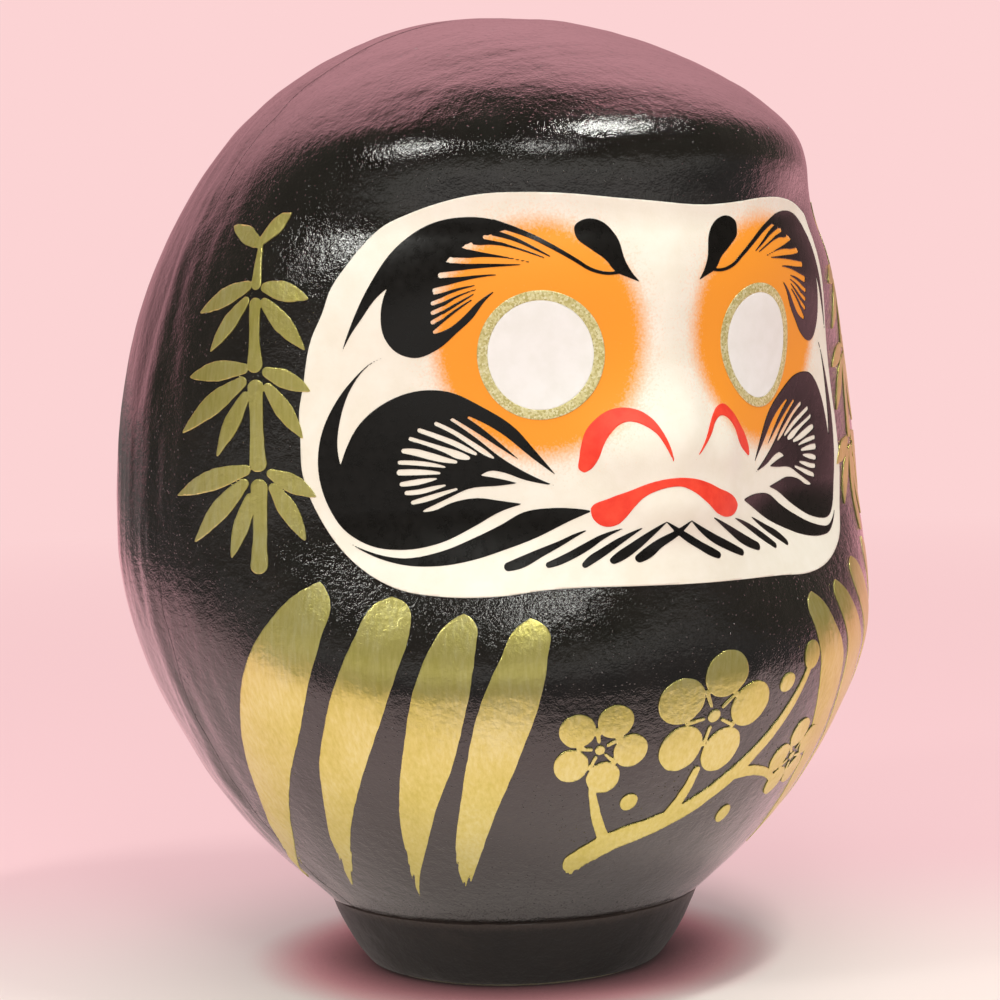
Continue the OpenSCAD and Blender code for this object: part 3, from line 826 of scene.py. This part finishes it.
def blossom(s0, z0, size, turn=0.0):
    """A plum blossom: five round petals about a dot, with a stamen between each two."""
    def out(degrees, reach):
        a = math.radians(turn + degrees)
        return s0 + reach * size * math.sin(a), z0 + reach * size * math.cos(a)

    parts = [oval(s0, z0, 0.16 * size, 0.16 * size)]
    for petal in range(0, 360, 72):
        stamen = petal + 36
        parts += [oval(*out(petal, 1.02), 0.56 * size, 0.56 * size),
                  stroke((*out(stamen, 0.28), 0.9), (*out(stamen, 0.7), 1.2))]
    return together(*parts)


plum = together(
    stroke((-27, 46, 7.5), (-14, 53, 6.8), (0, 57, 6.2), (16, 64, 5.4), (30, 75, 4.6),
           (40, 88, 3.4), (45, 101, 2.2)),
    stroke((2, 57, 4.2), (7, 66, 3.6), (9, 74, 2.6)),
    stroke((-16, 52, 3.8), (-22, 62, 3.2), (-25, 72, 2.0)),
    stroke((24, 70, 3.6), (37, 70, 3.0), (48, 66, 2.0)),
    blossom(10, 91, 12.5, 8), blossom(-24, 84, 9.0, 24), blossom(55, 72, 8.0, -14),
    oval(46, 105, 3.6, 4.4), oval(36, 98, 3.0, 3.0), oval(-12, 66, 2.8, 2.8),
    oval(30, 57, 3.0, 2.8))
film("plum_sprig", dry_ends(plum, 50), (-40, 70, 40, 114), 0.5, SPRIG_LIFT, GOLD_T, gold_paint)

# ---------------------------------------------------------------- foot
# A low dish of low-fired clay, pressed in a mould and dipped in thin black
# distemper. It carries the weight that sets the doll upright; a painted reflection lightens its top
# edge.
DISC_T, FOOT_R = 0.6, 47.0
RIM_R = NECK_R - 0.6
FOOT_WALL, FLOOR_Z = 8.0, 6.6
# the outside from the table up, the rounded rim, then the dished inside
profile = [(0.0, DISC_T), (FOOT_R - 1.2, DISC_T)]
profile += [(FOOT_R + (RIM_R - FOOT_R) * ((z - DISC_T) / (FOOT_H - DISC_T)) ** 0.75, z)
            for z in np.linspace(DISC_T + 0.5, FOOT_H - 1.6, 26)]
profile += [(RIM_R - 0.25, FOOT_H - 0.95), (RIM_R - 0.5, FOOT_H - 0.35), (RIM_R - 1.2, FOOT_H)]
skin_end = len(profile)
profile += [(RIM_R - FOOT_WALL, FOOT_H), (FOOT_R - FOOT_WALL + 2, FLOOR_Z), (0.0, FLOOR_Z)]
TURNS = 180
angles = np.linspace(0, 2 * math.pi, TURNS, endpoint=False)
points = []
for n, (r, z) in enumerate(profile[1:-1]):
    shift = 0.35 if 0 < n < skin_end - 1 else 0.0
    x, y = r * np.sin(angles), -r * np.cos(angles)
    uneven = shift * (swells(x / 17, y / 17, np.full_like(x, z / 12), 21)
                      + 0.4 * swells(x / 5, y / 5, np.full_like(x, z / 4), 22))
    uneven = np.minimum(uneven, RIM_R - r)
    scale = (r + uneven) / r
    points += [(x0 * k * MM, y0 * k * MM, z * MM) for x0, y0, k in zip(x, y, scale)]
rings = len(profile) - 2
faces = [(n * TURNS + j, n * TURNS + (j + 1) % TURNS, (n + 1) * TURNS + (j + 1) % TURNS,
          (n + 1) * TURNS + j) for n in range(rings - 1) for j in range(TURNS)]
points += [(0, 0, DISC_T * MM), (0, 0, FLOOR_Z * MM)]
faces += [(len(points) - 2, (j + 1) % TURNS, j) for j in range(TURNS)]
last = (rings - 1) * TURNS
faces += [(len(points) - 1, last + j, last + (j + 1) % TURNS) for j in range(TURNS)]

# The dip runs in 12 mm swags and dries dull; the clay's grit is drawn 0.9 mm wide to
# show. The top edge is painted a lighter brown as a painted reflection, ragged with the grit.
foot_clay, tree, shader, place = finish("dipped_black_clay")
grit = add_node(tree, "TexNoise", {
    "Vector": place, "Scale": 1 / (0.9 * MM), "Detail": 4.0, "Roughness": 0.7})
dip = add_node(tree, "TexNoise", {
    "Vector": place, "Scale": 1 / (12 * MM), "Detail": 4.0, "Roughness": 0.6})
tone = add_node(tree, "ValToRGB", {"Fac": dip}, stops=[
    (0.3, "#110E0D"), (0.6, "#1A1614"), (0.8, "#2C2623")])
height = add_node(tree, "SeparateXYZ", {"Vector": place})
# painted reflection: the top few millimetres of the foot, ragged with the grit, are mixed toward a
# lighter brown
painted_rim_sheen = add_node(tree, "Math", {
    0: grit, 1: 4 * MM, 2: height.outputs["Z"]}, operation="MULTIPLY_ADD")
painted_rim_sheen = add_node(tree, "MapRange", {
    "Value": painted_rim_sheen, "From Min": (FOOT_H - 1.5) * MM, "From Max": (FOOT_H + 2) * MM})
tone = add_node(tree, "Mix", {"Factor": painted_rim_sheen, "A": tone, "B": "#453B36"}, data_type="RGBA")
gloss = add_node(tree, "MapRange", {
    "Value": dip, "From Min": 0.3, "From Max": 0.7, "To Min": 0.4, "To Max": 0.55})
relief = add_node(tree, "Bump", {"Height": dip, "Strength": 1.0, "Distance": 1.2 * MM})
relief = add_node(tree, "Bump", {
    "Height": grit, "Normal": relief, "Strength": 1.0, "Distance": 0.15 * MM})
feed(shader, {
    "Base Color": tone, "Roughness": gloss, "Specular IOR Level": 0.35, "Coat Weight": 0.2,
    "Coat Roughness": 0.15, "Normal": relief})
foot = add_mesh("clay_foot", points, faces, foot_clay)
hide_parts("foot_dish")

# ---------------------------------------------------------------- weight and glue
# Shut inside: raw clay packed into the foot, and a bead of animal glue that
# holds the paper neck on it.
# The clay is dry and crumbly, with grit of about 2 mm.
raw_clay, tree, shader, place = finish("raw_clay")
grit = add_node(tree, "TexNoise", {
    "Vector": place, "Scale": 1 / (2 * MM), "Detail": 5.0, "Roughness": 0.7})
tone = add_node(tree, "ValToRGB", {"Fac": grit}, stops=[(0.3, "#7A5B42"), (0.7, "#94704F")])
relief = add_node(tree, "Bump", {"Height": grit, "Strength": 0.6, "Distance": 0.4 * MM})
feed(shader, {"Base Color": tone, "Roughness": 0.95, "Normal": relief})
dress("clay_weight", raw_clay)

# The glue is amber and glassy, with runs about 5 mm wide.
dried_glue, tree, shader, place = finish("dried_animal_glue")
flow = add_node(tree, "TexNoise", {"Vector": place, "Scale": 1 / (5 * MM), "Detail": 3.0})
tone = add_node(tree, "ValToRGB", {"Fac": flow}, stops=[(0.3, "#8A5A22"), (0.7, "#B07C38")])
feed(shader, {"Base Color": tone, "Roughness": 0.3, "IOR": 1.52})
dress("neck_glue", dried_glue)

# ---------------------------------------------------------------- table and light
# A pale pink paper sweep under and behind the doll, soft lamps overhead, to the left
# and in front, and a weak wide fill that its gloss does not show, in a dark room.
PINK, GLOSS_PINK = "#FCD3D4", "#F0ACB4"
VIEW_TURN = math.radians(153.35)
floor_paper, tree, shader, place = finish("pink_paper_sweep")
away = add_node(tree, "VectorMath", {0: place}, operation="LENGTH")
far = add_node(tree, "MapRange", {"Value": away, "From Min": 0.0, "From Max": 1.5})
far = add_node(tree, "ValToRGB", {"Fac": far}, stops=[
    (0.04, (0.02, 0.02, 0.02, 1)), (0.1, (0.35, 0.35, 0.35, 1)), (0.22, (0.55, 0.55, 0.55, 1)),
    (1.0, (1, 1, 1, 1))])
# the way the camera looks, seen from above, and square to it
backwards = (math.sin(VIEW_TURN), -math.cos(VIEW_TURN), 0)
sideways = (-math.cos(VIEW_TURN), -math.sin(VIEW_TURN), 0)
reach = add_node(tree, "VectorMath", {0: place, 1: backwards}, operation="DOT_PRODUCT")
# painted light: the paper is painted paler in front of the doll, where it is lit more brightly, and
# pinker behind it
painted_light_fade = add_node(tree, "MapRange", {
    "Value": reach, "From Min": -0.08, "From Max": 0.16}, interpolation_type="SMOOTHSTEP")
tone = add_node(tree, "Mix", {"Factor": painted_light_fade, "A": "#FBEDE6", "B": "#FAD2D5"}, data_type="RGBA")
ray = add_node(tree, "LightPath")
# painted shade: close under the doll, the paper as the camera sees it is darkened by how hemmed in
# it is, to a deep pink and then a dark brown at the foot
painted_shade_nook = add_node(tree, "AmbientOcclusion", {"Distance": 38 * MM})
painted_shade_tone = add_node(tree, "ValToRGB", {"Fac": painted_shade_nook.outputs["AO"]}, stops=[
    (0.25, "#63343E"), (0.55, "#E8A0AC"), (0.85, (1, 1, 1, 1))])
tone = add_node(tree, "Mix", {
    "Factor": ray.outputs["Is Camera Ray"], "A": tone, "B": painted_shade_tone}, data_type="RGBA",
    blend_type="MULTIPLY")
feed(shader, {"Base Color": tone, "Roughness": 0.9})
# painted light: the glow is paler in front of the doll and pinker behind it as well
tint = add_node(tree, "Mix", {"Factor": painted_light_fade, "A": "#FFE6DE", "B": "#FBB4BC"}, data_type="RGBA")
tint = add_node(tree, "Mix", {"Factor": far, "A": tint, "B": PINK}, data_type="RGBA")
tint = add_node(tree, "Mix", {
    "Factor": ray.outputs["Is Glossy Ray"], "A": tint, "B": GLOSS_PINK}, data_type="RGBA")
glow = add_node(tree, "Emission", {"Color": tint, "Strength": 1.0})
paper = add_node(tree, "MixShader", {0: far, 1: shader, 2: glow})
# in the doll's gloss the paper ends two hands' breadths in front of it; the floor beyond
# is dark, and greyer from 0.6 m on
slanting = tuple(0.85 * b - 0.527 * s for b, s in zip(backwards, sideways))
on_paper = 1.0
for way, edge in ((backwards, -0.215), (sideways, -0.70), (slanting, -0.19)):
    along = add_node(tree, "VectorMath", {0: place, 1: way}, operation="DOT_PRODUCT")
    inside = add_node(tree, "MapRange", {
        "Value": along, "From Min": edge - 0.015, "From Max": edge + 0.015})
    on_paper = add_node(tree, "Math", {0: on_paper, 1: inside}, operation="MULTIPLY")
seen = add_node(tree, "Math", {0: 1.0, 1: ray.outputs["Is Glossy Ray"]}, operation="SUBTRACT")
seen = add_node(tree, "Math", {0: on_paper, 1: seen}, operation="MAXIMUM")
room = add_node(tree, "MapRange", {
    "Value": reach, "From Min": -0.72, "From Max": -0.6, "To Min": 0.6, "To Max": 0.12})
dark = add_node(tree, "Emission", {"Color": "#FFFBF4", "Strength": room})
blend = add_node(tree, "MixShader", {0: seen, 1: dark, 2: paper})
feed(tree.nodes["Material Output"], {"Surface": blend})
floor_mesh = bpy.data.meshes.new("floor")
FLOOR_HALF = 12.0
floor_mesh.from_pydata([(-FLOOR_HALF, -FLOOR_HALF, 0), (FLOOR_HALF, -FLOOR_HALF, 0),
                        (FLOOR_HALF, FLOOR_HALF, 0), (-FLOOR_HALF, FLOOR_HALF, 0)],
                       [], [(0, 1, 2, 3)])
floor_mesh.materials.append(floor_paper)
floor = bpy.data.objects.new("floor", floor_mesh)
bpy.context.scene.collection.objects.link(floor)

# The backdrop fills the view. In the gloss it fades out 42 to 54 degrees to each side
# of its middle and 58 to 66 degrees up, and all else gets an even, neutral light.
SWEEP_TURN = math.radians(162)
world = bpy.data.worlds.new("studio")
bpy.context.scene.world = world
world.use_nodes = True
tree = world.node_tree
ray = add_node(tree, "LightPath")
way = add_node(tree, "TexCoord").outputs["Generated"]
level = add_node(tree, "VectorMath", {0: way, 1: (1, 1, 0)}, operation="MULTIPLY")
level = add_node(tree, "VectorMath", {0: level}, operation="NORMALIZE")
ahead = add_node(tree, "VectorMath", {
    0: level, 1: (math.sin(SWEEP_TURN), -math.cos(SWEEP_TURN), 0)}, operation="DOT_PRODUCT")
inside = add_node(tree, "MapRange", {
    "Value": ahead, "From Min": math.cos(math.radians(54)), "From Max": math.cos(math.radians(42))},
    interpolation_type="SMOOTHSTEP")
height = add_node(tree, "SeparateXYZ", {"Vector": way})
below = add_node(tree, "MapRange", {
    "Value": height.outputs["Z"], "From Min": math.sin(math.radians(66)),
    "From Max": math.sin(math.radians(58))}, interpolation_type="SMOOTHSTEP")
sweep = add_node(tree, "Math", {0: inside, 1: below}, operation="MULTIPLY")
upward = add_node(tree, "MapRange", {
    "Value": height.outputs["Z"], "From Min": 0.25, "From Max": 0.75, "To Min": 0.58,
    "To Max": 1.6})
lit_paper = add_node(tree, "Background", {"Color": GLOSS_PINK, "Strength": upward})
dark_room = add_node(tree, "Background", {"Color": "#FFF3DA", "Strength": 0.11})
in_gloss = add_node(tree, "MixShader", {0: sweep, 1: dark_room, 2: lit_paper})
in_view = add_node(tree, "Background", {"Color": PINK, "Strength": 1.0})
overhead = add_node(tree, "MapRange", {
    "Value": height.outputs["Z"], "From Min": 0.3, "From Max": 0.9, "To Min": 0.32, "To Max": 1.15})
even = add_node(tree, "Background", {"Color": "#EFF7F8", "Strength": overhead})
lit = add_node(tree, "MixShader", {0: ray.outputs["Is Glossy Ray"], 1: even, 2: in_gloss})
shown = add_node(tree, "MixShader", {0: ray.outputs["Is Camera Ray"], 1: lit, 2: in_view})
feed(tree.nodes["World Output"], {"Surface": shown})

LAMP_AWAY, LAMP_AIM = 1.3, (0, 0, 0.16)


def soft_lamp(name, azimuth, elevation, width, height, watts, in_gloss=True):
    """A soft lamp, in metres and watts, so many degrees round from the face and up."""
    a, e = math.radians(azimuth), math.radians(elevation)
    way = Vector((math.sin(a) * math.cos(e), -math.cos(a) * math.cos(e), math.sin(e)))
    data = bpy.data.lights.new(name, "AREA")
    data.shape = "RECTANGLE"
    data.size, data.size_y = width, height
    data.energy = watts
    data.color = paint("#FCFCF6")[:3]
    lamp = bpy.data.objects.new(name, data)
    lamp.location = Vector(LAMP_AIM) + way * LAMP_AWAY
    lamp.rotation_euler = way.to_track_quat("Z", "Y").to_euler()
    lamp.visible_glossy = in_gloss
    bpy.context.scene.collection.objects.link(lamp)


soft_lamp("overhead_lamp", 32, 66, 0.34, 0.06, 5.5)
soft_lamp("left_lamp", -74, 36, 0.18, 0.24, 3.2)
soft_lamp("front_lamp", -21, 34, 0.22, 0.2, 1.6)
soft_lamp("front_fill", -36, 36, 1.0, 0.8, 2.6, in_gloss=False)

# ---------------------------------------------------------------- camera
# The photograph's own place: a long lens a little above the doll, to the
# viewer's left of its face.
LENS_MM, SENSOR_MM = 105.23, 36
PLACE = (-0.42111, -0.83610, 0.22789)
TURN, DOWN, ROLL = (math.radians(angle) for angle in (26.65, 4.9092, -1.5138))
data = bpy.data.cameras.new("photo_camera")
data.lens = LENS_MM
data.sensor_width = SENSOR_MM
camera = bpy.data.objects.new("photo_camera", data)
camera.matrix_world = (Matrix.Translation(PLACE) @ Matrix.Rotation(-TURN, 4, "Z")
                       @ Matrix.Rotation(math.pi / 2 - DOWN, 4, "X")
                       @ Matrix.Rotation(ROLL, 4, "Z"))
bpy.context.scene.collection.objects.link(camera)
bpy.context.scene.camera = camera
bpy.context.scene.view_settings.view_transform = "Standard"
